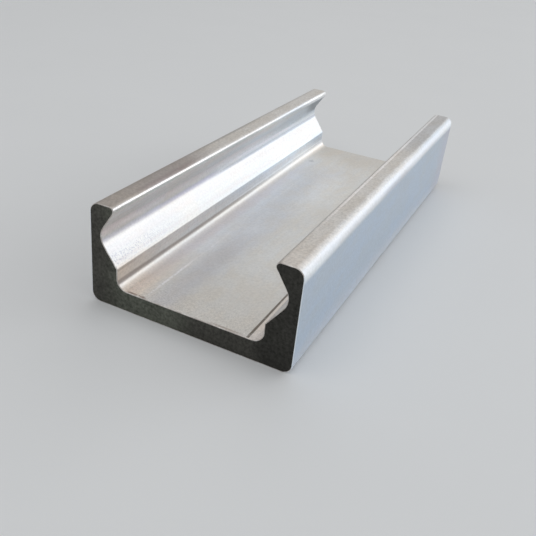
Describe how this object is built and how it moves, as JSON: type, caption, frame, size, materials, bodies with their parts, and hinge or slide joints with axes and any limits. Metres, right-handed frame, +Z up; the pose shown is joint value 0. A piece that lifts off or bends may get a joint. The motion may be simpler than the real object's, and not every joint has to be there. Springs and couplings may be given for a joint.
{
  "type": "steel channel",
  "caption": "Short sawn length of deep C-shaped steel channel with thick walls, inward lips and a V-shaped groove inside each wall.",
  "frame": {"origin": "middle of the underside, halfway along the bar", "axes": "+Y along the bar, +X across its width, +Z up, out of the open side"},
  "size_m": [0.043, 0.103, 0.021],
  "materials": {
    "channel": "drawn steel with a thin, smooth zinc coat: satin, slightly bluish silver, faint lines along the bar, sawn ends darker and bare"
  },
  "bodies": {
    "root": {"channel": "channel"}
  },
  "joints": []
}
